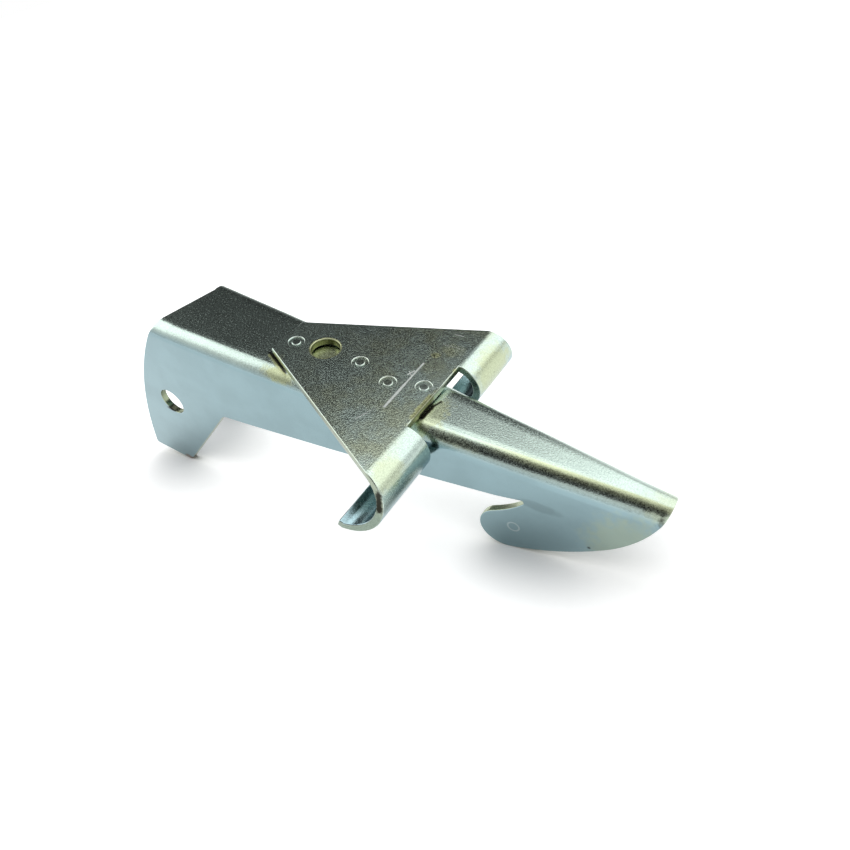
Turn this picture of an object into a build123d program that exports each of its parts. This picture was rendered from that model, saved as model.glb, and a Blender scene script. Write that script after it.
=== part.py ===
from build123d import *
import math
import os

os.makedirs("parts", exist_ok=True)

# Sheet and overall sizes, in millimetres
sheet = 2.0
arm_length = 135.5
rear_half_width = 12.95
nose_half_width = 4.1
side_bow = 1.3
fold_radius = 4.2
fold_margin = 0.3
top_rear_near_x = -0.8
top_rear_far_x = 2.2

# Ear and pivot bore
ear_depth = 56.2
ear_bottom_rear = -21.3
ear_bottom_front = -5.6
ear_front_slope = 1.36
ear_rear_lean = 0.08
bore_diameter = 8.5
bore_x = -4.3
bore_z = -29.6

# Lower edge of the two walls
edge_start_x = 19.0
edge_start_z = -25.6
edge_rise = 0.163

# Hook blade below the near wall
edge_end_x = 99.5
throat_x = 107.0
throat_z = -10.65
tip_x = 102.2
tip_z = -23.5
tip_radius = 6.15
hollow_radius = 26.5
belly_start_angle = 17.9
belly_turn_x = 125.4
belly_turn_z = -17.45
throat_radius = 0.6

# Finger plate
plate_rear_x = 35.4
plate_rear_half_width = 6.1
plate_side_slope = 0.481
plate_shift_y = 0.55
near_curl_slope = 0.39
far_curl_slope = 0.22
curl_start_x = 78.5
curl_outer_radius = 6.35
curl_angle = 200.0
lip_length = 1.2
notch_half_width = 11.3
notch_rear_x = 78.9
plate_corner_radius = 0.4
plate_hole_diameter = 7.3
plate_hole_x = 47.1
plate_hole_y = 1.2

# Weld projections between the two sheets
weld_gap = 0.4
weld_places = [(39.2, -0.5), (57.6, 1.2), (67.4, -1.3), (75.5, 1.6)]
weld_diameter = 3.6
ring_diameter = 4.0
ring_width = 0.8
ring_depth = 0.25

# Small roundings
ear_corner_radius = 1.2
ear_root_radius = 3.0

# Sizes that follow from the ones above
plate_low = weld_gap
plate_top = weld_gap + sheet
flat_length = curl_start_x - plate_rear_x
tangent_half_width = plate_rear_half_width + plate_side_slope * flat_length
curl_inner_radius = curl_outer_radius - sheet
curl_centre_z = plate_top - curl_outer_radius
neutral_radius = curl_outer_radius - sheet / 2
wide = 4 * rear_half_width
front_limit = arm_length + 1
rear_limit = ear_bottom_rear - 6
ear_low = -ear_depth


def half_width(x):
    """Outer half width of the channel at a place along the arm."""
    s = x / arm_length
    straight = rear_half_width + (nose_half_width - rear_half_width) * s
    return straight + 4 * side_bow * s * (1 - s)


def channel_section(x, inset):
    """Cross-section of the channel at a place along the arm, open at the bottom."""
    half = half_width(x) - inset
    fold = min(fold_radius, half_width(x) - fold_margin)
    radius = fold - inset
    low = ear_low - sheet
    with BuildSketch(Plane(origin=(x, 0, 0), x_dir=(0, 1, 0), z_dir=(1, 0, 0))) as section:
        with BuildLine():
            Line((-half, low), (-half, -fold))
            RadiusArc((-half, -fold), (radius - half, -inset), radius)
            Line((radius - half, -inset), (half - radius, -inset))
            RadiusArc((half - radius, -inset), (half, -fold), radius)
            Line((half, -fold), (half, low))
            Line((half, low), (-half, low))
        make_face()
    return section.sketch


def channel_body(inset, overrun):
    """Solid tapered channel without its hollow, moved inwards by the inset."""
    middle = [share * arm_length for share in (0.03, 0.2, 0.4, 0.6, 0.77, 0.94)]
    places = [rear_limit - overrun] + middle + [front_limit + overrun]
    return loft([channel_section(x, inset) for x in places], ruled=True)


def folded_sheet():
    """Tapered inverted channel with rounded folds."""
    return channel_body(0, 0) - channel_body(sheet, 1)


def lower_edge_z(x):
    """Height of the walls' lower edge."""
    return edge_start_z + edge_rise * (x - edge_start_x)


def belly_start():
    """Point where the hook's round tip runs into its belly."""
    a = math.radians(belly_start_angle)
    return (tip_x + tip_radius * math.sin(a), tip_z - tip_radius * math.cos(a))


def hollow_centre():
    """Centre of the hook's hollow upper edge, which touches the round tip."""
    dx = throat_x - tip_x
    dz = throat_z - tip_z
    reach = math.hypot(dx, dz)
    both = hollow_radius + tip_radius
    along = (reach**2 + both**2 - hollow_radius**2) / (2 * reach)
    aside = math.sqrt(both**2 - along**2)
    return (tip_x + (along * dx - aside * dz) / reach, tip_z + (along * dz + aside * dx) / reach)


def hook_touch():
    """Point where the hook's hollow upper edge meets its round tip."""
    centre = hollow_centre()
    share = tip_radius / (hollow_radius + tip_radius)
    return (tip_x + share * (centre[0] - tip_x), tip_z + share * (centre[1] - tip_z))


def hollow_middle():
    """Point halfway along the hook's hollow upper edge."""
    centre = hollow_centre()
    dx = hook_touch()[0] + throat_x - 2 * centre[0]
    dz = hook_touch()[1] + throat_z - 2 * centre[1]
    share = hollow_radius / math.hypot(dx, dz)
    return (centre[0] + share * dx, centre[1] + share * dz)


def tip_middle():
    """Point on the hook's round tip, between the belly and the upper edge."""
    a = math.radians(65)
    return (tip_x - tip_radius * math.sin(a), tip_z - tip_radius * math.cos(a))


def belly_arcs():
    """The belly: a long curve from the hook's round tip, then a tighter one up to the nose."""
    a = math.radians(belly_start_angle)
    turn = (belly_turn_x, belly_turn_z)
    long_arc = TangentArc(belly_start(), turn, tangent=(math.cos(a), math.sin(a)))
    TangentArc(turn, (arm_length, 0), tangent=long_arc % 1)


def ear_root():
    """Corner between the ear's front edge and the wall's lower edge."""
    run = (edge_start_z - ear_low) / ear_front_slope
    return (ear_bottom_front + run, edge_start_z)


def side_outline(hooked):
    """Side outline of one wall, seen across the arm."""
    above = 2
    top_rear_x = top_rear_near_x if hooked else top_rear_far_x
    root = ear_root()
    bottom_rear = (ear_bottom_rear, ear_low)
    bottom_front = (ear_bottom_front, ear_low)
    with BuildSketch(Plane.XZ) as outline:
        with BuildLine():
            TangentArc(bottom_rear, (top_rear_x, 0), tangent=(ear_rear_lean, 1))
            Line((top_rear_x, 0), (top_rear_x, above))
            Line((top_rear_x, above), (arm_length, above))
            Line((arm_length, above), (arm_length, 0))
            if hooked:
                belly_arcs()
                ThreePointArc(belly_start(), tip_middle(), hook_touch())
                ThreePointArc(hook_touch(), hollow_middle(), (throat_x, throat_z))
                Line((throat_x, throat_z), (edge_end_x, lower_edge_z(edge_end_x)))
                Line((edge_end_x, lower_edge_z(edge_end_x)), root)
            else:
                far_end = (arm_length - 3.3, lower_edge_z(arm_length - 3.3))
                ThreePointArc((arm_length, 0), (arm_length - 1, 0.52 * far_end[1]), far_end)
                Line(far_end, root)
            Line(root, bottom_front)
            Line(bottom_front, bottom_rear)
        make_face()
        fillet(nearest(outline, bottom_rear), radius=ear_corner_radius)
        fillet(nearest(outline, bottom_front), radius=ear_corner_radius)
        fillet(nearest(outline, root), radius=ear_root_radius)
        if hooked:
            fillet(nearest(outline, (throat_x, throat_z)), radius=throat_radius)
    return outline.sketch


def nearest(builder, point):
    """Corner of an outline nearest to a point."""
    return builder.vertices().sort_by_distance((point[0], point[1], 0))[0]


def oblique_rear(front_x, half):
    """Flat strip of the top at the rear, with its slanting rear edge."""
    slant = [(top_rear_near_x, -half), (top_rear_far_x, half)]
    with BuildSketch(Plane.XY.offset(-sheet)) as strip:
        with BuildLine():
            Polyline(slant[0], slant[1], (front_x, half), (front_x, -half), close=True)
        make_face()
    return extrude(strip.sketch, amount=sheet)


def catch_arm_body():
    """The pressed arm: channel trimmed to its two side outlines, with the pivot bore."""
    near = extrude(side_outline(True), amount=wide)
    far = extrude(side_outline(False), amount=-wide)
    body = folded_sheet() & (near + far)
    strip_front = 3 * sheet
    strip_half = half_width(strip_front) - 1.1 * fold_radius
    room = Box(2 * strip_front, 2 * strip_half, 3 * sheet)
    body = body - room + oblique_rear(strip_front, strip_half)
    bore = Cylinder(bore_diameter / 2, 2 * wide, rotation=(90, 0, 0))
    return body - Pos(bore_x, 0, bore_z) * bore


def plate_flat():
    """Flat tapered part of the finger plate with its notch."""
    rear = (plate_rear_x, plate_rear_half_width)
    front = (curl_start_x, tangent_half_width)
    inner = (curl_start_x, notch_half_width)
    notch = (notch_rear_x, notch_half_width)
    far_side = [rear, front, inner, notch]
    near_side = [(x, -y) for x, y in reversed(far_side)]
    with BuildSketch(Plane.XY.offset(plate_low)) as blank:
        with BuildLine():
            Polyline(*far_side, *near_side, close=True)
        make_face()
        rear_corners = blank.vertices().group_by(Axis.X)[0]
        fillet(rear_corners, radius=plate_corner_radius)
    return extrude(blank.sketch, amount=sheet)


def curl_slope(side):
    """Slope of the slanted outer side of one curl."""
    return near_curl_slope if side < 0 else far_curl_slope


def slanted_limit(side):
    """Helical limit of one wing, where its slanted side goes round the curl."""
    sections = []
    steps = 8
    turn = curl_angle + 20
    for k in range(steps + 1):
        angle = -5 + (turn + 5) * k / steps
        travel = math.radians(angle) * neutral_radius
        outer = tangent_half_width + curl_slope(side) * travel
        mid = (notch_half_width + outer) / 2
        plane = Plane(origin=(curl_start_x, side * mid, curl_centre_z), x_dir=(0, 1, 0),
                      z_dir=(math.cos(math.radians(angle)), 0, -math.sin(math.radians(angle))))
        with BuildSketch(plane) as piece:
            with Locations((0, neutral_radius)):
                Rectangle(outer - notch_half_width, 2 * sheet)
        sections.append(piece.sketch)
    return loft(sections)


def curl_ring(side):
    """Round curl of one wing, down and back, with its short straight lip."""
    length = 3 * tangent_half_width
    ring = Cylinder(curl_outer_radius, length) - Cylinder(curl_inner_radius, length)
    ring = Pos(curl_start_x, 0, curl_centre_z) * (Rot(90, 0, 0) * ring)
    with BuildSketch(Plane.XZ) as sector:
        with BuildLine():
            reach = 3 * curl_outer_radius
            middle = math.radians(curl_angle / 2)
            end = math.radians(curl_angle)
            centre = (curl_start_x, curl_centre_z)
            first = (centre[0], centre[1] + reach)
            half = (centre[0] + reach * math.sin(middle), centre[1] + reach * math.cos(middle))
            last = (centre[0] + reach * math.sin(end), centre[1] + reach * math.cos(end))
            ThreePointArc(first, half, last)
            Line(last, centre)
            Line(centre, first)
        make_face()
    wedge = extrude(sector.sketch, amount=length, both=True)
    return (ring & wedge) & slanted_limit(side)


def curl_lip(side):
    """Short straight end that follows the curl."""
    angle = math.radians(curl_angle)
    travel = angle * neutral_radius
    outer = tangent_half_width + curl_slope(side) * travel
    along = (math.cos(angle), 0, -math.sin(angle))
    plane = Plane(origin=(curl_start_x, 0, curl_centre_z), x_dir=(0, 1, 0), z_dir=along)
    with BuildSketch(plane) as section:
        with Locations((side * (notch_half_width + outer) / 2, neutral_radius)):
            Rectangle(outer - notch_half_width, sheet)
    return extrude(section.sketch, amount=lip_length)


def weld_mark(place):
    """Shallow ring pressed in the plate over one weld projection."""
    inner_radius = ring_diameter / 2 - ring_width
    ring = Cylinder(ring_diameter / 2, 2 * ring_depth) - Cylinder(inner_radius, 2 * ring_depth)
    return Pos(place[0], place[1], plate_top) * ring


def weld_projection(place):
    """Low round projection that stands on the arm."""
    low = Cylinder(weld_diameter / 2, weld_gap + 0.2, align=(Align.CENTER, Align.CENTER, Align.MIN))
    return Pos(place[0], place[1], 0) * low


def finger_plate_body():
    """The finger plate: flat, two curls, hole, weld marks and weld projections."""
    body = plate_flat()
    for side in (-1, 1):
        body = body + curl_ring(side) + curl_lip(side)
    hole = Cylinder(plate_hole_diameter / 2, 4 * sheet)
    body = Pos(0, plate_shift_y, 0) * body
    body = body - Pos(plate_hole_x, plate_hole_y, plate_top) * hole
    for place in weld_places:
        body = body - weld_mark(place)
        body = body + weld_projection(place)
    return body


def rest_pitch():
    """Slope of the floor line that touches the ears' front corners and the hook's round tip."""
    half_corner = (math.pi - math.atan(ear_front_slope)) / 2
    ear_x = ear_bottom_front - ear_corner_radius / math.tan(half_corner)
    ear_z = ear_low + ear_corner_radius
    dx = tip_x - ear_x
    dz = tip_z - ear_z
    between = math.asin((tip_radius - ear_corner_radius) / math.hypot(dx, dz))
    return math.degrees(math.atan2(dz, dx) - between)


def rest_place():
    """Put the pivot axis at the origin and turn the part to its pose at rest."""
    return Rot(0, rest_pitch(), 0) * Pos(-bore_x, 0, -bore_z)


def save(body, name):
    """Write one node as a STEP file."""
    solid = body.solids()[0] if len(body.solids()) == 1 else body
    solid.label = name
    export_step(solid, "parts/" + name + ".step")


save(rest_place() * catch_arm_body(), "catch_arm")
save(rest_place() * finger_plate_body(), "finger_plate")
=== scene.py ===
import math

import bmesh
import bpy
from mathutils import Matrix, Vector
from mathutils.bvhtree import BVHTree


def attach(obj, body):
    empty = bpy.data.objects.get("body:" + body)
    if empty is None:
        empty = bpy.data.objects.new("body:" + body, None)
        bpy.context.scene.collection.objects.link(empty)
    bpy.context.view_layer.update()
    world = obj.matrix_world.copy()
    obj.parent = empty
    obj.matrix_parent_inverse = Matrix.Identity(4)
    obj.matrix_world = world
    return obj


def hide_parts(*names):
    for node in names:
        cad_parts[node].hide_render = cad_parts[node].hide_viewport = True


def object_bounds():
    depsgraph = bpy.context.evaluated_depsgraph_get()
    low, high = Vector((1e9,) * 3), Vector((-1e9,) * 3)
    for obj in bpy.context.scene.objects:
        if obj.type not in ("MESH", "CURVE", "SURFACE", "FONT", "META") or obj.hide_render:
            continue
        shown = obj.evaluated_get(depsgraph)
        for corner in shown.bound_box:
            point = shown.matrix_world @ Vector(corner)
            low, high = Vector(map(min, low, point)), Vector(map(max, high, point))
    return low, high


bl_info = {
    "name": "Bonnet Safety Catch",
    "version": (1, 0, 0),
    "blender": (4, 5, 0),
    "location": "View3D > Sidebar > Catch",
    "description": "Zinc-plated looks and studio for a pressed bonnet safety catch",
    "category": "Object",
}

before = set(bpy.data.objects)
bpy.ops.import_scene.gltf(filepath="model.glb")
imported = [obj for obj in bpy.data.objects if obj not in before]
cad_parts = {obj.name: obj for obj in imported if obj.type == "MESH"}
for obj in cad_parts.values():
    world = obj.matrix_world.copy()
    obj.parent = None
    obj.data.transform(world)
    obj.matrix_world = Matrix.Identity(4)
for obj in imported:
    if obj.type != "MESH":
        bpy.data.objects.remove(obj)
cad_low, cad_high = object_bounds()

ARM = "catch_arm"
PLATE = "finger_plate"

# Arm coordinates are millimetres along the arm, across it and up, from the rear end of its top
MILLIMETRES = 1000.0
REST_PITCH = math.radians(13.6893)
PIVOT = Vector((-4.3, 0.0, -29.6))
SHEET = 2.0
SHEET_SLACK = 0.5
PLATE_TOP = 2.4
PLATE_HOLE = (47.1, 1.2, 0.0)
WELDS = ((39.2, -0.5), (57.6, 1.2), (67.4, -1.3), (75.5, 1.6))
WELD_MARK_REACH = 3.0
WELD_MARK_DEPTH = 0.4
BLADE_MARK = (104.5, 0.0, -21.2)
BLADE_MARK_RADIUS = 1.4

# Spans of height over which the finish changes from wall to top on the arm's folds; over the first
# the colour turns to the lighter lit copy of the zinc, a painted highlight
FOLD_HIGHLIGHT = (-3.2, -1.0)
FOLD_SPECKS = (-3.4, -1.0)
FOLD_GRAIN = (-4.2, -2.0)

# Yellow hem under the near edge of the arm's top, in front of the plate; towards the nose it is
# also darkened as painted shade
HEM_BOTTOM = (-1.2, -0.4)
HEM_TOP = (-0.12, -0.01)
HEM_SIDE = (-1.0, 1.0)
HEM_START = (84.0, 108.0)
HEM_SHADE_START = (106.0, 122.0)

# Spans over which the finish of the plate changes
PLATE_FLAT = (1.6, 2.3)
CURL_START = (77.0, 84.0)
CURL_UNDERSIDE = (-6.0, -2.0)
CLOUD_START = (34.0, 62.0)
HOLE_RIM = (3.9, 4.3)

# Patches: centre, reach along each direction, strength and raggedness
ARM_STAINS = (
    ((40.5, -10.0, -1.0), (6.0, 2.6, 2.2), 0.65, 1.0),
    ((80.4, -3.5, 0.0), (4.2, 8.5, 4.0), 0.50, 1.6),
    ((47.1, 1.2, 0.0), (6.0, 6.0, 1.0), 0.55, 0.7),
    ((88.0, -6.5, -0.8), (10.0, 2.4, 1.4), 0.30, 1.3),
    ((135.0, -1.0, -1.5), (7.0, 6.0, 3.0), 0.30, 0.8),
    ((131.0, -6.0, -14.0), (13.0, 4.0, 14.0), 0.30, 0.8))
# Dark patches: painted shade in the hook's throat, a dark spot at the nose's end, a small spot on
# the hook's blade and a dark patch low in the ear's hole
ARM_DIRT_AND_SHADE = (
    ((109.8, -7.2, -10.9), (6.5, 4.0, 1.9), 0.20, 0.4),
    ((134.3, -5.0, -2.2), (1.3, 2.0, 2.6), 0.85, 1.6),
    ((122.0, -6.5, -18.5), (0.7, 2.0, 0.7), 0.85, 0.6),
    ((-5.6, -12.6, -33.4), (2.6, 3.0, 0.9), 0.9, 0.6))
# Brown patch at the ear's bottom front corner, where it rests on the floor
EAR_TIP_BROWN = (((-6.0, -12.7, -55.6), (3.0, 3.0, 1.4), 0.8, 0.9),)
PLATE_STAINS = (
    ((82.0, -23.2, 0.6), (4.6, 6.0, 3.6), 0.40, 0.8),
    ((84.0, 19.5, -2.0), (7.0, 10.0, 6.0), 0.55, 0.8),
    ((72.0, 12.6, 2.4), (1.5, 1.4, 1.0), 0.6, 1.2),
    ((75.0, 16.2, 2.4), (3.2, 3.0, 1.0), 0.30, 1.4),
    ((78.8, -4.0, 1.6), (1.5, 8.0, 2.4), 0.85, 1.0),
    ((79.6, 10.2, 1.5), (1.8, 1.6, 2.2), 0.8, 1.0),
    ((38.8, -7.3, 1.2), (6.0, 2.8, 1.5), 0.95, 0.6))
PLATE_SPOTS = (
    ((85.3, 19.2, -2.4), (0.8, 0.8, 0.8), 0.8, 0.8),
    ((71.7, 12.4, 2.4), (0.5, 0.4, 0.5), 0.9, 1.0),
    ((78.9, -3.0, 2.3), (0.7, 9.0, 0.7), 0.55, 1.0))
WELD_SPOTS = tuple(
    ((along, across, PLATE_TOP), (1.2, 1.2, 1.0), 0.5, 0.4) for along, across in WELDS)

# Lines: both ends, width and strength
ARM_CRUST = (((34.6, -5.8, 0.0), (42.6, -9.6, -0.3), 1.3, 0.8),)
# Dark lines: the first is painted shade in the gap under the plate's near edge, the other two
# darken the arm under the plate's front edge at the notch
ARM_DARK_LINES = (
    ((34.0, -5.1, 0.0), (42.2, -8.9, -0.1), 0.9, 0.95),
    ((79.2, -5.2, 0.0), (79.4, -0.8, 0.0), 1.0, 0.97),
    ((79.4, -0.8, 0.0), (80.2, 1.4, 0.0), 0.7, 0.95))
PLATE_SCRATCHES = (
    ((71.06, 8.48, 2.4), (71.16, 0.1, 2.4), 0.55, 1.0),
    ((71.16, 0.1, 2.4), (71.26, -8.35, 2.4), 0.75, 1.0),
    ((69.98, 3.33, 2.4), (70.62, 5.13, 2.4), 0.45, 0.9),
    ((69.70, 4.39, 2.4), (71.08, 3.15, 2.4), 0.35, 0.8),
    ((67.84, -14.74, 2.4), (68.90, -12.03, 2.4), 0.40, 0.5),
    ((68.9, -11.7, 2.4), (70.69, -8.31, 2.4), 0.25, 0.3),
    ((71.55, 16.95, 2.4), (76.54, 17.66, 2.4), 0.30, 0.4),
    ((72.14, 21.81, 2.4), (74.26, 22.13, 2.4), 0.40, 0.6),
    ((76.0, -25.95, 2.4), (79.6, -21.95, 2.2), 0.25, 0.35),
    ((75.6, -24.95, 2.4), (79.4, -21.15, 2.2), 0.22, 0.3))
# Dark lines: a black spot across the near curl's cut end, a line along the bottom of the plate's
# front edge at the notch, and painted shade in the gap over the arm's near fold
PLATE_DARK_LINES = (
    ((82.9, -28.5, -0.4), (83.7, -29.7, -3.3), 2.2, 0.97),
    ((78.9, -5.4, 0.8), (78.9, 0.0, 0.7), 1.0, 0.95),
    ((35.3, -5.3, 0.5), (42.6, -9.0, 0.4), 1.5, 0.97))

# How strongly each mark shows, from 0 to 1
HEM_STAIN = 0.6
HOLE_STAIN = 0.9
ARM_CUT_STAIN = 0.6
PLATE_CUT_STAIN = 0.35
ARM_RIM = 0.5
PLATE_RIM = 0.8
BLADE_MARK_SHARE = 0.22
CRUST_DULLNESS = 0.3
PLATE_DULLNESS = 0.05
SCRATCH_DULLNESS = 0.7

# Roughness that a full stain adds
ARM_STAIN_ROUGHNESS = 0.12
PLATE_STAIN_ROUGHNESS = 0.10

# Limits for cleaning and rounding the CAD meshes, distances in metres
MERGE_DISTANCE = 4e-5
FLAT_ANGLE = math.radians(0.2)
SHEARED_ANGLE = math.radians(40)
SHARP_ANGLE = math.radians(50)
RAY_OFFSET = 1e-5
# Paleness of new rim faces: wear on sheared edges, painted highlight on the weld rings' rims
SHEARED_WEAR = 0.15
RING_HIGHLIGHT = 0.45

# Stage in metres, with each card's corners as azimuth and elevation in degrees
FLOOR_REACH = 6.0
SHADOW_SAMPLES = 12
SHADOW_DEPTH = 3.0
CARD_CENTRE = Vector((0.07, 0.0, 0.0))
CARD_DISTANCE = 0.9
LOW_CARD = ((94, -1), (94, 18), (155, 18), (155, -1))
CARD_BEHIND = ((93, 18), (87, 47), (105, 52), (113, 61), (149, 66), (155, 56), (155, 18))
CARD_IN_FRONT = ((-32, 34), (10, 82), (-110, 82), (-118, 14))


class CatchFinish(bpy.types.PropertyGroup):
    """Colours and sizes of the plated finish."""

    zinc: bpy.props.FloatVectorProperty(
        name="Zinc", description="Pale blue of the bright zinc on the walls", size=3,
        subtype="COLOR", default=(0.265, 0.38, 0.41), min=0.0, max=1.0)
    # Lighter, greener copy of the zinc for tops, folds and curls: painted highlight
    lit_zinc: bpy.props.FloatVectorProperty(
        name="Top zinc", description="Grey-green of the plating on tops, folds and curls", size=3,
        subtype="COLOR", default=(0.45, 0.55, 0.50), min=0.0, max=1.0)
    olive: bpy.props.FloatVectorProperty(
        name="Olive", description="Tint of the cloudy patches on the finger plate", size=3,
        subtype="COLOR", default=(0.44, 0.50, 0.38), min=0.0, max=1.0)
    stain: bpy.props.FloatVectorProperty(
        name="Stain", description="Yellow-green where the passivate pooled", size=3,
        subtype="COLOR", default=(0.46, 0.48, 0.22), min=0.0, max=1.0)
    # Also used for the painted highlight on the weld rings' rims
    pale: bpy.props.FloatVectorProperty(
        name="Pale zinc", description="Bright metal in scratches and on worn rims", size=3,
        subtype="COLOR", default=(0.86, 0.92, 0.88), min=0.0, max=1.0)
    # Dark colour for the dark lines and spots, partly painted shade in the gaps between plate and
    # arm and in the hook's throat
    dirt_and_shade: bpy.props.FloatVectorProperty(
        name="Soot", description="Dirt in the gaps, dents and dark spots", size=3,
        subtype="COLOR", default=(0.015, 0.014, 0.010), min=0.0, max=1.0)
    # Brown of the patch at the ear's bottom front corner, where it rests on the floor
    tip_brown: bpy.props.FloatVectorProperty(
        name="Rust", description="Brown of the bare steel at the ear's tip", size=3,
        subtype="COLOR", default=(0.20, 0.13, 0.09), min=0.0, max=1.0)
    rim_width: bpy.props.FloatProperty(
        name="Rim width", description="Rounding along the sheared edges", default=0.00026,
        min=0.0, unit="LENGTH")
    ring_rim_width: bpy.props.FloatProperty(
        name="Ring rim width", description="Rounding along the rims of the weld marks",
        default=0.0002, min=0.0, unit="LENGTH")
    grain_height: bpy.props.FloatProperty(
        name="Grain height", description="Height of the fine grain of the plating",
        default=0.00003, min=0.0, unit="LENGTH")
    arm_roughness: bpy.props.FloatProperty(
        name="Arm roughness", description="Roughness of the arm's plating", default=0.17,
        min=0.0, max=1.0, subtype="FACTOR")
    plate_roughness: bpy.props.FloatProperty(
        name="Plate roughness", description="Roughness of the finger plate's plating",
        default=0.16, min=0.0, max=1.0, subtype="FACTOR")
    speckle: bpy.props.FloatProperty(
        name="Speckle", description="How much rougher the fine specks of the plating are",
        default=0.105, min=0.0, max=1.0, subtype="FACTOR")


class CatchStudio(bpy.types.PropertyGroup):
    """Camera, lamps and floor."""

    azimuth: bpy.props.FloatProperty(
        name="Azimuth", description="Camera angle round the part",
        default=math.radians(42.6243), subtype="ANGLE")
    elevation: bpy.props.FloatProperty(
        name="Elevation", description="Camera angle above the floor",
        default=math.radians(36.1135), subtype="ANGLE")
    roll: bpy.props.FloatProperty(
        name="Roll", description="Turn of the camera about its own axis",
        default=math.radians(-16.2825), subtype="ANGLE")
    distance: bpy.props.FloatProperty(
        name="Distance", description="Camera distance from its target", default=0.17993,
        unit="LENGTH")
    target: bpy.props.FloatVectorProperty(
        name="Target", description="Point that the camera looks at", size=3,
        subtype="TRANSLATION", default=(0.075848, 0.010365, -0.001824), unit="LENGTH")
    lens: bpy.props.FloatProperty(
        name="Lens", description="Focal length in millimetres", default=29.558, min=1.0)
    shift_y: bpy.props.FloatProperty(
        name="Shift", description="Upward shift of the frame", default=-0.0249)
    key_strength: bpy.props.FloatProperty(
        name="Key light", description="Strength of the wide soft light behind and to the right",
        default=0.70, min=0.0)
    top_strength: bpy.props.FloatProperty(
        name="Top light", description="Strength of the small soft light overhead",
        default=0.24, min=0.0)
    left_strength: bpy.props.FloatProperty(
        name="Left light", description="Strength of the soft light high on the left",
        default=0.72, min=0.0)
    room_level: bpy.props.FloatProperty(
        name="Room level", description="How strongly the white room lights the part",
        default=0.36, min=0.0)
    card_level: bpy.props.FloatProperty(
        name="Card level", description="How bright the grey cards are seen in the metal",
        default=0.032, min=0.0)
    low_card_level: bpy.props.FloatProperty(
        name="Low card level",
        description="How bright the card near the floor is seen in the metal", default=0.22,
        min=0.0)
    shadow_reach: bpy.props.FloatProperty(
        name="Shadow reach",
        description="How far the part darkens the floor where it nearly touches",
        default=0.025, min=0.0, unit="LENGTH")
    floor_glow: bpy.props.FloatVectorProperty(
        name="Floor glow", description="How much whiter than lit paper the floor is seen",
        size=3, subtype="COLOR", default=(0.75, 0.75, 0.75), min=0.0, max=1.0)
    floor_colour: bpy.props.FloatVectorProperty(
        name="Floor", description="Colour of the white paper floor", size=3, subtype="COLOR",
        default=(0.90, 0.91, 0.91), min=0.0, max=1.0)


def feed(tree, socket, value):
    """Link a socket to another node's output, or give it a plain value."""
    if isinstance(value, bpy.types.NodeSocket):
        tree.links.new(value, socket)
    else:
        socket.default_value = value


def calculate(tree, operation, *values, clamp=False):
    """Result of one sum on numbers."""
    node = tree.nodes.new("ShaderNodeMath")
    node.operation = operation
    node.use_clamp = clamp
    for socket, value in zip(node.inputs, values):
        feed(tree, socket, value)
    return node.outputs[0]


def times(tree, first, second):
    """Product of two numbers."""
    return calculate(tree, "MULTIPLY", first, second)


def larger(tree, first, second):
    """The larger of two numbers."""
    return calculate(tree, "MAXIMUM", first, second)


def without(tree, share):
    """What a share leaves of 1."""
    return calculate(tree, "SUBTRACT", 1.0, share)


def combine(tree, operation, *values):
    """Result of one sum on vectors."""
    node = tree.nodes.new("ShaderNodeVectorMath")
    node.operation = operation
    for socket, value in zip(node.inputs, values):
        feed(tree, socket, value)
    number = operation in ("LENGTH", "DISTANCE", "DOT_PRODUCT")
    return node.outputs["Value" if number else "Vector"]


def scaled(tree, vector, factor):
    """A vector or colour times one number."""
    node = tree.nodes.new("ShaderNodeVectorMath")
    node.operation = "SCALE"
    feed(tree, node.inputs[0], vector)
    feed(tree, node.inputs["Scale"], factor)
    return node.outputs["Vector"]


def noise(tree, place, scale, detail, roughness):
    """Cloudy value about one half."""
    node = tree.nodes.new("ShaderNodeTexNoise")
    feed(tree, node.inputs["Vector"], place)
    feed(tree, node.inputs["Scale"], scale)
    node.inputs["Detail"].default_value = detail
    node.inputs["Roughness"].default_value = roughness
    return node.outputs["Fac"]


def rise(tree, value, low, high):
    """Smooth step from 0 at the low value to 1 at the high one."""
    node = tree.nodes.new("ShaderNodeMapRange")
    node.interpolation_type = "SMOOTHSTEP"
    feed(tree, node.inputs["Value"], value)
    feed(tree, node.inputs["From Min"], low)
    feed(tree, node.inputs["From Max"], high)
    return node.outputs["Result"]


def fall(tree, value, low, high):
    """Smooth step from 1 at the low value to 0 at the high one."""
    return without(tree, rise(tree, value, low, high))


def tint(tree, share, first, second):
    """Colour that goes from the first to the second by the share."""
    node = tree.nodes.new("ShaderNodeMix")
    node.data_type = "RGBA"
    first_colour, second_colour = (
        socket for socket in node.inputs if socket.type == "RGBA")
    feed(tree, node.inputs["Factor"], share)
    feed(tree, first_colour, first)
    feed(tree, second_colour, second)
    return next(socket for socket in node.outputs if socket.type == "RGBA")


def shade(tree, base, share, low, high):
    """Colour made darker or lighter as the share goes from 0 to 1."""
    level = tree.nodes.new("ShaderNodeMapRange")
    feed(tree, level.inputs["Value"], share)
    level.inputs["To Min"].default_value = low
    level.inputs["To Max"].default_value = high
    return scaled(tree, base, level.outputs["Result"])


def colour(values):
    """A colour with its alpha."""
    return (*values, 1.0)


def new_group(name, inputs, outputs):
    """An empty shader node group with named sockets."""
    group = bpy.data.node_groups.new(name, "ShaderNodeTree")
    for label, kind, value in inputs:
        socket = group.interface.new_socket(label, in_out="INPUT", socket_type=kind)
        socket.default_value = value
    for label in outputs:
        group.interface.new_socket(label, in_out="OUTPUT", socket_type="NodeSocketFloat")
    start = group.nodes.new("NodeGroupInput").outputs
    end = group.nodes.new("NodeGroupOutput").inputs
    return group, start, end


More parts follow.
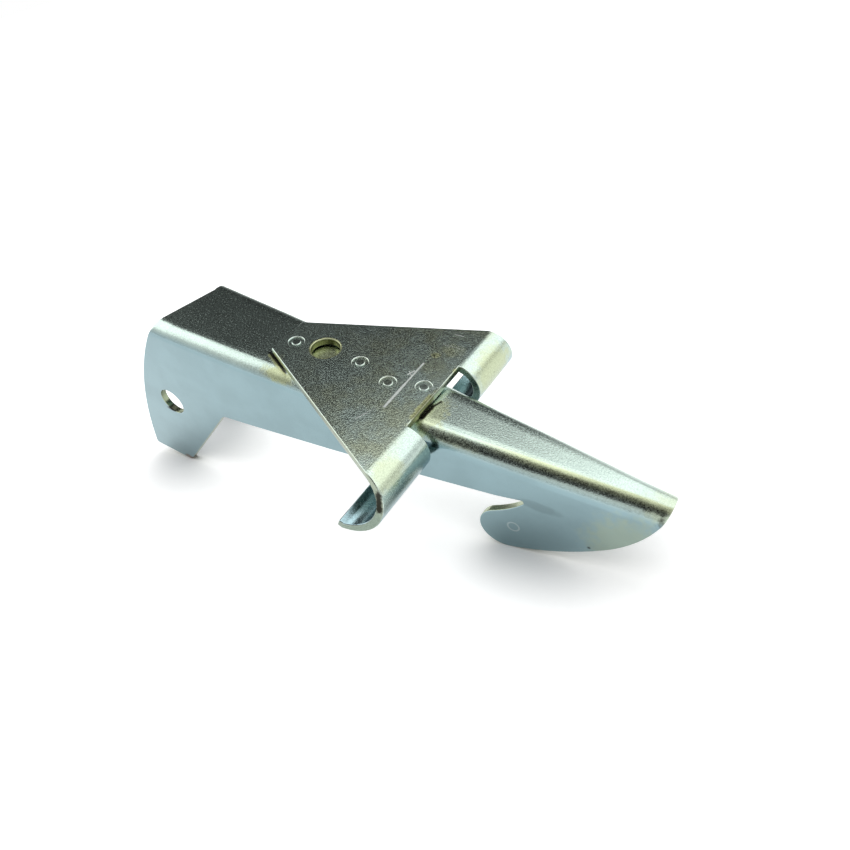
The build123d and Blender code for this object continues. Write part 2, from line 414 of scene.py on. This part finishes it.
def patch_group():
    """Ragged patch round a centre."""
    group, start, end = new_group(
        "Stain patch",
        (("Place", "NodeSocketVector", (0, 0, 0)), ("Centre", "NodeSocketVector", (0, 0, 0)),
         ("Reach", "NodeSocketVector", (1, 1, 1)), ("Ragged", "NodeSocketFloat", 0.8),
         ("Soft", "NodeSocketFloat", 0.5), ("Grit", "NodeSocketFloat", 0.6)),
        ("Mask",))
    away = combine(group, "DIVIDE", combine(group, "SUBTRACT", start["Place"], start["Centre"]),
                   start["Reach"])
    cloud = noise(group, start["Place"], start["Grit"], detail=4.0, roughness=0.6)
    rough = times(group, calculate(group, "SUBTRACT", cloud, 0.5), start["Ragged"])
    far = calculate(group, "ADD", combine(group, "LENGTH", away), rough)
    feed(group, end["Mask"], fall(group, far, without(group, start["Soft"]), 1.0))
    return group


def line_group():
    """Thin ragged line between two ends."""
    group, start, end = new_group(
        "Scratch line",
        (("Place", "NodeSocketVector", (0, 0, 0)), ("Start", "NodeSocketVector", (0, 0, 0)),
         ("End", "NodeSocketVector", (1, 0, 0)), ("Width", "NodeSocketFloat", 0.2),
         ("Ragged", "NodeSocketFloat", 0.5), ("Grit", "NodeSocketFloat", 2.0)),
        ("Mask",))
    along = combine(group, "SUBTRACT", start["End"], start["Start"])
    away = combine(group, "SUBTRACT", start["Place"], start["Start"])
    share = calculate(group, "DIVIDE", combine(group, "DOT_PRODUCT", away, along),
                      combine(group, "DOT_PRODUCT", along, along), clamp=True)
    gap = combine(group, "DISTANCE", away, scaled(group, along, share))
    cloud = noise(group, start["Place"], start["Grit"], detail=3.0, roughness=0.6)
    rough = times(group, calculate(group, "SUBTRACT", cloud, 0.5), start["Ragged"])
    spread = calculate(group, "ADD", gap, times(group, rough, start["Width"]))
    widths = calculate(group, "DIVIDE", spread, start["Width"])
    feed(group, end["Mask"], fall(group, widths, 0.25, 0.6))
    return group


def grain_group():
    """Grain of the plating: the share of fine specks, a height and slow clouds."""
    group, start, end = new_group(
        "Plating grain",
        (("Place", "NodeSocketVector", (0, 0, 0)), ("Size", "NodeSocketFloat", 2.2)),
        ("Share", "Height", "Cloud"))
    fine = noise(group, start["Place"], start["Size"], detail=2.0, roughness=0.7)
    coarse = noise(group, start["Place"], 0.8, detail=2.0, roughness=0.5)
    clouds = noise(group, start["Place"], 0.09, detail=4.0, roughness=0.6)
    feed(group, end["Share"], rise(group, fine, 0.3, 0.7))
    feed(group, end["Height"], calculate(group, "ADD", fine, times(group, coarse, 0.35)))
    feed(group, end["Cloud"], rise(group, clouds, 0.35, 0.65))
    return group


def use_effect(tree, name, **values):
    """Place a shared effect with its own values, building its group the first time."""
    makers = {"Stain patch": patch_group, "Scratch line": line_group, "Plating grain": grain_group}
    group = bpy.data.node_groups.get(name)
    node = tree.nodes.new("ShaderNodeGroup")
    node.node_tree = group if group else makers[name]()
    for label, value in values.items():
        feed(tree, node.inputs[label.capitalize()], value)
    return node.outputs


def patches(tree, place, marks):
    """Strongest of several ragged patches, each with its centre, reach and strength."""
    total = 0.0
    for centre, reach, strength, ragged in marks:
        mask = use_effect(tree, "Stain patch", place=place, centre=centre, reach=reach,
                          ragged=ragged)["Mask"]
        total = larger(tree, total, times(tree, mask, strength))
    return total


def lines(tree, place, marks):
    """Strongest of several thin lines, each with its two ends, width and strength."""
    total = 0.0
    for first, last, width, strength in marks:
        mask = use_effect(tree, "Scratch line", place=place, start=first, end=last,
                          width=width)["Mask"]
        total = larger(tree, total, times(tree, mask, strength))
    return total


def surface_value(tree, name):
    """Value that the mesh carries for its cut faces or its rims."""
    node = tree.nodes.new("ShaderNodeAttribute")
    node.attribute_name = name
    return node.outputs["Fac"]


def part_place(tree):
    """Arm coordinates of the point that is shaded."""
    source = tree.nodes.new("ShaderNodeTexCoord")
    turned = tree.nodes.new("ShaderNodeMapping")
    turned.inputs["Location"].default_value = PIVOT
    turned.inputs["Rotation"].default_value = (0, -REST_PITCH, 0)
    turned.inputs["Scale"].default_value = (MILLIMETRES, MILLIMETRES, MILLIMETRES)
    tree.links.new(source.outputs["Object"], turned.inputs["Vector"])
    return turned.outputs["Vector"]


def split(tree, place):
    """The three coordinates of a place."""
    node = tree.nodes.new("ShaderNodeSeparateXYZ")
    feed(tree, node.inputs[0], place)
    return node.outputs["X"], node.outputs["Y"], node.outputs["Z"]


def distance_from(tree, place, directions, centre):
    """Distance from a centre that counts only the directions given as 1."""
    return combine(tree, "DISTANCE", combine(tree, "MULTIPLY", place, directions), centre)


def new_material(name):
    """A fresh node material with its shader."""
    material = bpy.data.materials.new(name)
    material.use_nodes = True
    return material, material.node_tree, material.node_tree.nodes["Principled BSDF"]


def finish_metal(tree, shader, base, rough, height, depth, dull):
    """Feed a metal's colour, roughness, grain and dull share to its shader."""
    feed(tree, shader.inputs["Metallic"], without(tree, dull))
    feed(tree, shader.inputs["Base Color"], base)
    feed(tree, shader.inputs["Roughness"], rough)
    bump = tree.nodes.new("ShaderNodeBump")
    bump.inputs["Strength"].default_value = 1.0
    bump.inputs["Distance"].default_value = depth
    feed(tree, bump.inputs["Height"], height)
    tree.links.new(bump.outputs["Normal"], shader.inputs["Normal"])


def roughness_of(tree, plain, yellow, yellow_gain, speck, speck_gain):
    """Roughness of the plain plating, raised in stains and in fine specks."""
    stained = calculate(tree, "ADD", plain, times(tree, yellow, yellow_gain))
    return calculate(tree, "ADD", stained, times(tree, speck, speck_gain))


def arm_metal(look):
    """Bright zinc of the arm, speckled on its top, stained by the plate and at the nose."""
    material, tree, shader = new_material("arm_zinc")
    place = part_place(tree)
    along, across, up = split(tree, place)
    grain = use_effect(tree, "Plating grain", place=place, size=2.6)
    cut = surface_value(tree, "cut")
    speck = times(tree, grain["Share"], rise(tree, up, *FOLD_SPECKS))

    hem = times(tree, rise(tree, up, *HEM_BOTTOM), fall(tree, up, *HEM_TOP))
    in_front = times(tree, fall(tree, across, *HEM_SIDE), rise(tree, along, *HEM_START))
    hem = times(tree, hem, in_front)
    crust = lines(tree, place, ARM_CRUST)
    yellow = larger(tree, patches(tree, place, ARM_STAINS), times(tree, hem, HEM_STAIN))
    yellow = larger(tree, yellow, times(tree, cut, ARM_CUT_STAIN))
    yellow = larger(tree, yellow, crust)

    # Painted highlight: tops and folds take the lighter lit copy of the zinc
    base = tint(tree, rise(tree, up, *FOLD_HIGHLIGHT), colour(look.zinc), colour(look.lit_zinc))
    base = tint(tree, yellow, base, colour(look.stain))
    # Painted shade: the hem darkens towards the nose
    nose_painted_shade = times(tree, hem, rise(tree, along, *HEM_SHADE_START))
    base = shade(tree, base, nose_painted_shade, low=1.0, high=0.74)
    base = shade(tree, base, speck, low=0.90, high=1.14)
    base = shade(tree, base, grain["Cloud"], low=0.96, high=1.04)
    base = tint(tree, times(tree, surface_value(tree, "rim"), ARM_RIM), base, colour(look.pale))

    # Dark lines and patches, partly painted shade in the gap under the plate and in the hook's
    # throat
    dark = larger(tree, lines(tree, place, ARM_DARK_LINES), patches(tree, place, ARM_DIRT_AND_SHADE))
    base = tint(tree, dark, base, colour(look.dirt_and_shade))
    away = distance_from(tree, place, (1, 0, 1), BLADE_MARK)
    off_ring = calculate(tree, "ABSOLUTE", calculate(tree, "SUBTRACT", away, BLADE_MARK_RADIUS))
    ring = times(tree, fall(tree, off_ring, 0.1, 0.3), BLADE_MARK_SHARE)
    base = tint(tree, ring, base, colour(look.pale))
    base = tint(tree, patches(tree, place, EAR_TIP_BROWN), base, colour(look.tip_brown))

    rough = roughness_of(tree, look.arm_roughness, yellow, ARM_STAIN_ROUGHNESS, speck, look.speckle)
    height = times(tree, grain["Height"], rise(tree, up, *FOLD_GRAIN))
    dull = times(tree, times(tree, crust, without(tree, dark)), CRUST_DULLNESS)
    finish_metal(tree, shader, base, rough, height, look.grain_height, dull)
    return material


def plate_metal(look):
    """Dull cloudy zinc of the finger plate with its scratches and stains."""
    material, tree, shader = new_material("plate_zinc")
    place = part_place(tree)
    along, _, up = split(tree, place)
    flat = times(tree, rise(tree, up, *PLATE_FLAT), fall(tree, along, *CURL_START))
    grain = use_effect(tree, "Plating grain", place=place, size=2.8)
    cut = surface_value(tree, "cut")

    hole = fall(tree, distance_from(tree, place, (1, 1, 0), PLATE_HOLE), *HOLE_RIM)
    yellow = larger(tree, patches(tree, place, PLATE_STAINS), times(tree, hole, HOLE_STAIN))
    yellow = larger(tree, yellow, times(tree, cut, PLATE_CUT_STAIN))

    cloudy = times(tree, grain["Cloud"], rise(tree, along, *CLOUD_START))
    # Painted highlight: the plate's top and curls take the lighter lit copy of the zinc
    base = tint(tree, times(tree, cloudy, flat), colour(look.lit_zinc), colour(look.olive))
    # The curls' undersides keep the darker wall zinc, the shaded copy
    base = tint(tree, fall(tree, up, *CURL_UNDERSIDE), base, colour(look.zinc))
    base = tint(tree, yellow, base, colour(look.stain))
    base = shade(tree, base, grain["Share"], low=0.86, high=1.14)
    base = shade(tree, base, cut, low=1.0, high=0.66)
    # Pale rims: wear on sheared edges, painted highlight on the weld rings
    base = tint(tree, times(tree, surface_value(tree, "rim"), PLATE_RIM), base, colour(look.pale))

    scratches = lines(tree, place, PLATE_SCRATCHES)
    base = tint(tree, scratches, base, colour(look.pale))
    # Dark lines and spots, partly painted shade in the gap over the arm's near fold
    dark = larger(tree, lines(tree, place, PLATE_DARK_LINES),
                  patches(tree, place, PLATE_SPOTS + WELD_SPOTS))
    base = tint(tree, dark, base, colour(look.dirt_and_shade))

    rough = roughness_of(tree, look.plate_roughness, yellow, PLATE_STAIN_ROUGHNESS,
                         grain["Share"], look.speckle)
    dull = larger(tree, times(tree, flat, PLATE_DULLNESS), times(tree, scratches, SCRATCH_DULLNESS))
    finish_metal(tree, shader, base, rough, grain["Height"], look.grain_height, dull)
    return material


def arm_point(point):
    """Arm coordinates of a point of the mesh."""
    turn = Matrix.Rotation(-REST_PITCH, 3, "Y")
    return turn @ (Vector(point) * MILLIMETRES) + PIVOT


def on_weld_mark(edge):
    """Whether an edge lies on one of the weld rings."""
    middle = arm_point((edge.verts[0].co + edge.verts[1].co) / 2)
    return middle.z > PLATE_TOP - WELD_MARK_DEPTH and any(
        math.hypot(middle.x - along, middle.y - across) < WELD_MARK_REACH
        for along, across in WELDS)


def mark_cut_faces(shape):
    """Give the faces that a shear cut through the sheet the value 1."""
    layer = shape.faces.layers.float.new("cut")
    tree = BVHTree.FromBMesh(shape)
    for face in shape.faces:
        middle = face.calc_center_median()
        depth = tree.ray_cast(middle - face.normal * RAY_OFFSET, -face.normal)[3]
        thick = depth is None or depth * MILLIMETRES > SHEET + SHEET_SLACK
        face[layer] = 1.0 if thick else 0.0


def round_edges(shape, edges, width, paleness):
    """Round the given edges and give their new faces a paleness: wear on sheared edges, painted
    highlight on weld rings.
    """
    done = bmesh.ops.bevel(
        shape, geom=edges, offset=width, offset_type="OFFSET", segments=2, profile=0.5,
        affect="EDGES", clamp_overlap=False, material=-1)
    layer = shape.faces.layers.float["rim"]
    for face in done["faces"]:
        face[layer] = paleness


def dressed_copy(node, name, look):
    """A merged copy of a CAD node with rounded sheared edges, which stands for the node."""
    shape = bmesh.new()
    shape.from_mesh(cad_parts[node].data)
    bmesh.ops.remove_doubles(shape, verts=shape.verts, dist=MERGE_DISTANCE)
    bmesh.ops.dissolve_limit(
        shape, angle_limit=FLAT_ANGLE, verts=shape.verts, edges=shape.edges)
    shape.normal_update()
    mark_cut_faces(shape)
    shape.faces.layers.float.new("rim")
    sheared, rings = [], []
    for edge in shape.edges:
        if edge.is_manifold and edge.is_convex and edge.calc_face_angle() > SHEARED_ANGLE:
            (rings if node == PLATE and on_weld_mark(edge) else sheared).append(edge)
    round_edges(shape, sheared, look.rim_width, SHEARED_WEAR)
    rings = [edge for edge in rings if edge.is_valid]
    if rings:
        round_edges(shape, rings, look.ring_rim_width, RING_HIGHLIGHT)
    mesh = bpy.data.meshes.new(name)
    shape.to_mesh(mesh)
    shape.free()
    old_normals = mesh.attributes.get("custom_normal")
    if old_normals:
        mesh.attributes.remove(old_normals)
    mesh.polygons.foreach_set("use_smooth", [True] * len(mesh.polygons))
    mesh.set_sharp_from_angle(angle=SHARP_ANGLE)
    piece = bpy.data.objects.new(name, mesh)
    bpy.context.scene.collection.objects.link(piece)
    weighted = piece.modifiers.new("Even normals", "WEIGHTED_NORMAL")
    weighted.keep_sharp = True
    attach(piece, "root")
    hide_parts(node)
    return piece


class CATCH_OT_arm(bpy.types.Operator):
    """Dress the arm in bright zinc"""
    bl_idname = "catch.arm"
    bl_label = "Catch arm"

    def execute(self, context):
        look = context.scene.catch_finish
        piece = dressed_copy(ARM, "arm_skin", look)
        piece.data.materials.append(arm_metal(look))
        return {"FINISHED"}


class CATCH_OT_plate(bpy.types.Operator):
    """Dress the finger plate in stained zinc"""
    bl_idname = "catch.plate"
    bl_label = "Finger plate"

    def execute(self, context):
        look = context.scene.catch_finish
        piece = dressed_copy(PLATE, "plate_skin", look)
        piece.data.materials.append(plate_metal(look))
        return {"FINISHED"}


def sky_direction(azimuth, elevation):
    """Unit vector towards a place in the room, from its angles in degrees."""
    around, above = math.radians(azimuth), math.radians(elevation)
    return Vector((math.cos(above) * math.cos(around), math.cos(above) * math.sin(around),
                   math.sin(above)))


def seen_directly(tree):
    """1 for rays from the camera and for those that gloss or glass sends on."""
    path = tree.nodes.new("ShaderNodeLightPath")
    both = calculate(tree, "ADD", path.outputs["Is Camera Ray"], path.outputs["Is Glossy Ray"])
    return calculate(tree, "ADD", both, path.outputs["Is Transmission Ray"], clamp=True)


def flat_sheet(name, corners, material):
    """A flat stage sheet: the floor or a card."""
    mesh = bpy.data.meshes.new(name)
    shape = bmesh.new()
    shape.faces.new([shape.verts.new(corner) for corner in corners])
    shape.to_mesh(mesh)
    shape.free()
    mesh.materials.append(material)
    sheet = bpy.data.objects.new(name, mesh)
    bpy.context.scene.collection.objects.link(sheet)
    return sheet


def add_floor(studio):
    """White paper under the part, seen white except in shadow and close to the part."""
    paper, tree, shader = new_material("floor_paper")
    shader.inputs["Base Color"].default_value = colour(studio.floor_colour)
    shader.inputs["Roughness"].default_value = 1.0
    shader.inputs["Specular IOR Level"].default_value = 0.0
    shader.inputs["Emission Strength"].default_value = 1.0
    # Painted contact shadow: the floor's glow fades where the part comes close
    corner = tree.nodes.new("ShaderNodeAmbientOcclusion")
    corner.samples = SHADOW_SAMPLES
    corner.inputs["Distance"].default_value = studio.shadow_reach
    clear = calculate(tree, "POWER", corner.outputs["AO"], SHADOW_DEPTH)
    glow = times(tree, clear, seen_directly(tree))
    feed(tree, shader.inputs["Emission Color"],
         shade(tree, studio.floor_glow, glow, low=0.0, high=1.0))
    around = ((-1, -1), (1, -1), (1, 1), (-1, 1))
    flat_sheet("floor", [(x * FLOOR_REACH, y * FLOOR_REACH, cad_low[2]) for x, y in around], paper)


def card_felt(name, level):
    """Grey of a card, which shines evenly at its level."""
    felt, _, shader = new_material(name)
    shader.inputs["Base Color"].default_value = (0, 0, 0, 1)
    shader.inputs["Specular IOR Level"].default_value = 0.0
    shader.inputs["Emission Color"].default_value = (1, 1, 1, 1)
    shader.inputs["Emission Strength"].default_value = level
    return felt


def dark_card(name, corners, felt):
    """A grey card that only shows in the metal, with the directions of its corners."""
    card = flat_sheet(
        name, [CARD_CENTRE + sky_direction(*corner) * CARD_DISTANCE for corner in corners], felt)
    card.visible_camera = False
    card.visible_shadow = False
    card.visible_diffuse = False


def add_cards(studio):
    """Three cards that stand for the dark sides of the room in the metal."""
    felt = card_felt("grey_card", studio.card_level)
    dark_card("low_card", LOW_CARD, card_felt("low_card", studio.low_card_level))
    dark_card("card_behind", CARD_BEHIND, felt)
    dark_card("card_in_front", CARD_IN_FRONT, felt)


def soft_light(name, azimuth, elevation, spread, strength):
    """A wide round soft light far away, seen under the given spread in degrees."""
    lamp = bpy.data.lights.new(name, "SUN")
    lamp.angle = math.radians(spread)
    lamp.energy = strength
    light = bpy.data.objects.new(name, lamp)
    turn = sky_direction(azimuth, elevation).to_track_quat("Z", "Y")
    light.matrix_world = turn.to_matrix().to_4x4()
    bpy.context.scene.collection.objects.link(light)


def add_room(studio):
    """Room that is white to the camera and in the metal, and lights the part at its level."""
    world = bpy.data.worlds.new("white_room")
    world.use_nodes = True
    tree = world.node_tree
    sky = tree.nodes["Background"]
    sky.inputs["Color"].default_value = (1, 1, 1, 1)
    seen = seen_directly(tree)
    lit = times(tree, without(tree, seen), studio.room_level)
    feed(tree, sky.inputs["Strength"], calculate(tree, "ADD", seen, lit))
    bpy.context.scene.world = world


def camera_matrix(studio):
    """Place and turn of the camera from its angles."""
    azimuth, elevation, roll = studio.azimuth, studio.elevation, studio.roll
    back = Vector((math.sin(azimuth) * math.cos(elevation),
                   -math.cos(azimuth) * math.cos(elevation), math.sin(elevation)))
    level = Vector((math.cos(azimuth), math.sin(azimuth), 0.0))
    above = back.cross(level)
    right = level * math.cos(roll) + above * math.sin(roll)
    up = above * math.cos(roll) - level * math.sin(roll)
    turn = Matrix((right, up, back)).transposed().to_4x4()
    return Matrix.Translation(Vector(studio.target) + back * studio.distance) @ turn


def add_camera(studio):
    """Camera that sees the part as the photo does."""
    camera = bpy.data.cameras.new("camera")
    camera.lens = studio.lens
    camera.shift_y = studio.shift_y
    camera.clip_start = 0.01
    eye = bpy.data.objects.new("camera", camera)
    eye.matrix_world = camera_matrix(studio)
    bpy.context.scene.collection.objects.link(eye)
    bpy.context.scene.camera = eye


class CATCH_OT_stage(bpy.types.Operator):
    """Floor, cards, soft light, room and camera"""
    bl_idname = "catch.stage"
    bl_label = "Studio"

    def execute(self, context):
        studio = context.scene.catch_studio
        add_floor(studio)
        add_cards(studio)
        soft_light("key_light", 52, 43, 58, studio.key_strength)
        soft_light("top_light", 108, 72, 28, studio.top_strength)
        soft_light("left_light", -165, 43, 54, studio.left_strength)
        add_room(studio)
        add_camera(studio)
        context.scene.view_settings.view_transform = "Standard"
        return {"FINISHED"}


class CATCH_PT_panel(bpy.types.Panel):
    """Buttons for the pieces and the studio"""
    bl_idname = "CATCH_PT_panel"
    bl_label = "Bonnet safety catch"
    bl_space_type = "VIEW_3D"
    bl_region_type = "UI"
    bl_category = "Catch"

    def draw(self, context):
        for operator in OPERATORS:
            self.layout.operator(operator.bl_idname)


OPERATORS = (CATCH_OT_arm, CATCH_OT_plate, CATCH_OT_stage)
CLASSES = (CatchFinish, CatchStudio) + OPERATORS + (CATCH_PT_panel,)


def register():
    """Add the settings, the operators and the panel."""
    for cls in CLASSES:
        bpy.utils.register_class(cls)
    bpy.types.Scene.catch_finish = bpy.props.PointerProperty(type=CatchFinish)
    bpy.types.Scene.catch_studio = bpy.props.PointerProperty(type=CatchStudio)


def unregister():
    """Take the settings, the operators and the panel away."""
    del bpy.types.Scene.catch_studio
    del bpy.types.Scene.catch_finish
    for cls in reversed(CLASSES):
        bpy.utils.unregister_class(cls)


def main():
    """Build both pieces and the stage."""
    register()
    bpy.ops.catch.arm()
    bpy.ops.catch.plate()
    bpy.ops.catch.stage()


if __name__ == "__main__":
    main()
